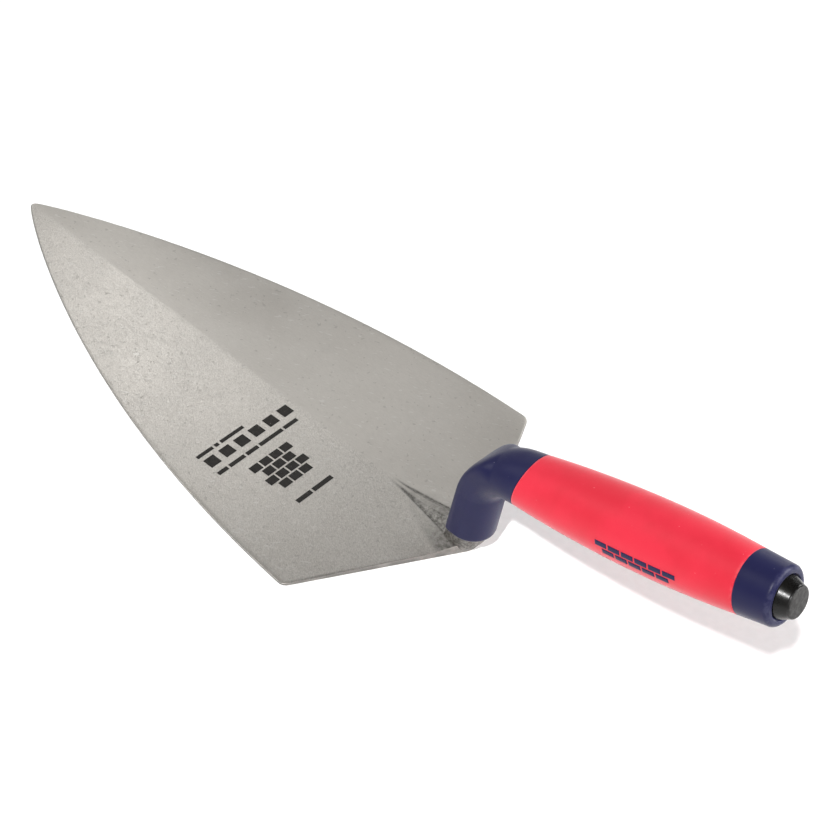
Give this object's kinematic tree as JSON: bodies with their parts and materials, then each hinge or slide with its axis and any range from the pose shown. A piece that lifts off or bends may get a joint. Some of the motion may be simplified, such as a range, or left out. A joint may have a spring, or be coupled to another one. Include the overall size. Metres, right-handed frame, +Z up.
{
  "type": "brick trowel",
  "caption": "Brick trowel: flat pointed steel blade with a wide heel, a bent lift, and a straight moulded handle with a soft sleeve, a hard collar and a strike cap.",
  "frame": {"origin": "on the plane that the blade lies on, under the middle of the whole trowel's bounding box", "axes": "+X from the toe towards the butt of the handle, +Y to the left of a person who looks along +X, +Z up through the blade towards the handle"},
  "size_m": [0.4096, 0.1398, 0.0916],
  "materials": {
    "blade_steel": "ground satin steel, darker as-forged scale on the bolster and shank",
    "navy_plastic": "satin moulded navy plastic",
    "red_soft_grip": "soft-touch red elastomer with a fine moulded grain",
    "black_cap": "glossy black plastic"
  },
  "bodies": {
    "root": {"forged_blade": "blade_steel", "handle_core": "navy_plastic", "grip_sleeve": "red_soft_grip", "strike_cap": "black_cap"}
  },
  "joints": []
}
